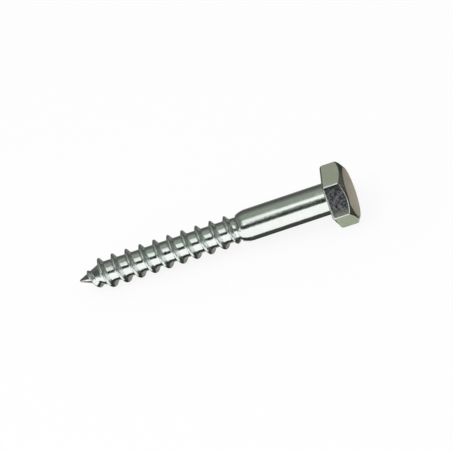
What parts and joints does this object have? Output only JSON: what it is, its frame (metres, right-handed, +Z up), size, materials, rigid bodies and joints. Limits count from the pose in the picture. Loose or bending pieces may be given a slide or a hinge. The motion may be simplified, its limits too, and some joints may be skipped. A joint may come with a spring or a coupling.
{
  "type": "lag screw",
  "caption": "Hex-headed lag screw, or coach screw: plain shank, coarse right-hand wood thread and gimlet point, zinc-plated steel, lying at rest on its head and thread.",
  "frame": {"origin": "the middle of the base of the bounding box, on the surface the screw lies on", "axes": "+Z up; the screw lies along X with its head towards +X and its point towards -X, its axis tipped about 3 degrees in the XZ plane with the head end higher; one flat of the head faces up"},
  "size_m": [0.0866, 0.0194, 0.0173],
  "materials": {
    "zinc_plated_steel": "bright zinc plating with a faint grey-green cast over rolled and cold-headed steel: glossy on shank and thread, more satin on the head"
  },
  "bodies": {
    "root": {"lag_screw": "zinc_plated_steel"}
  },
  "joints": []
}
